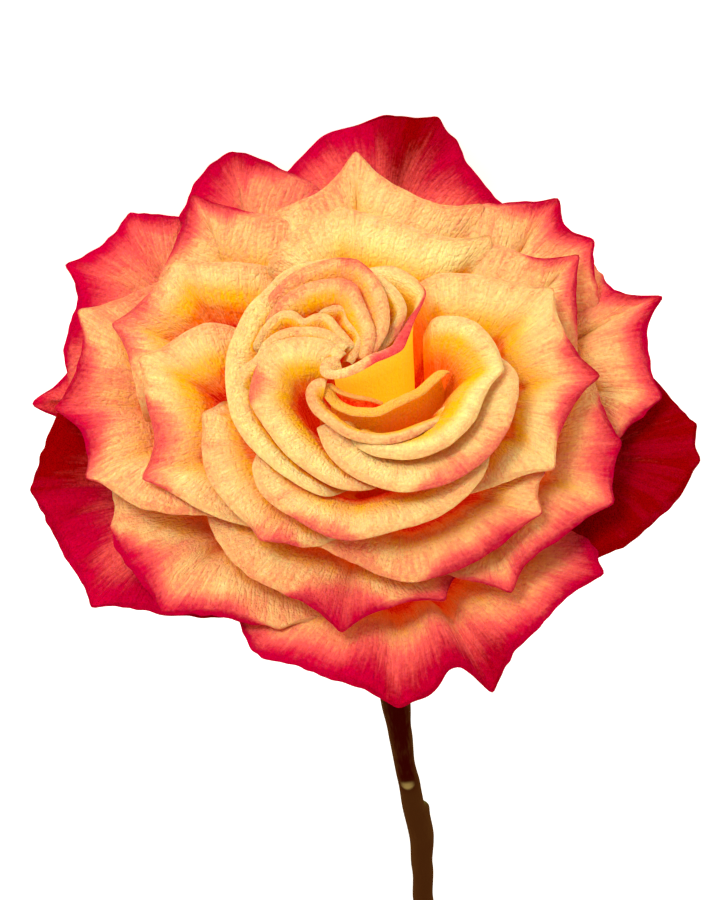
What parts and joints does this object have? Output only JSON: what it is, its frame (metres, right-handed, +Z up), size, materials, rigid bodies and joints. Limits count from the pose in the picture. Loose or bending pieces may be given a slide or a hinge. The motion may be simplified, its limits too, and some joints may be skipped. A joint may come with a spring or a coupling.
{
  "type": "cut rose flower",
  "caption": "Open cut garden rose laid on its side: spiralled yellow petals with coral and crimson margins, a green calyx and a short bare cut stem.",
  "frame": {"origin": "centre of the footprint, on the surface that the flower lies on", "axes": "+Z up; +Y along the stem, from the bloom to the cut end; the bloom faces -Y and tilts up"},
  "size_m": [0.1124, 0.222, 0.1022],
  "materials": {
    "petals": "velvety petal tissue, yellow at the base, apricot over the middle, coral to crimson at the margin",
    "calyx": "soft matt green leaf tissue",
    "stem": "smooth maroon-brown bark with green sides, satin"
  },
  "bodies": {
    "root": {"bloom": "petals", "calyx": "calyx", "stem": "stem"}
  },
  "joints": []
}
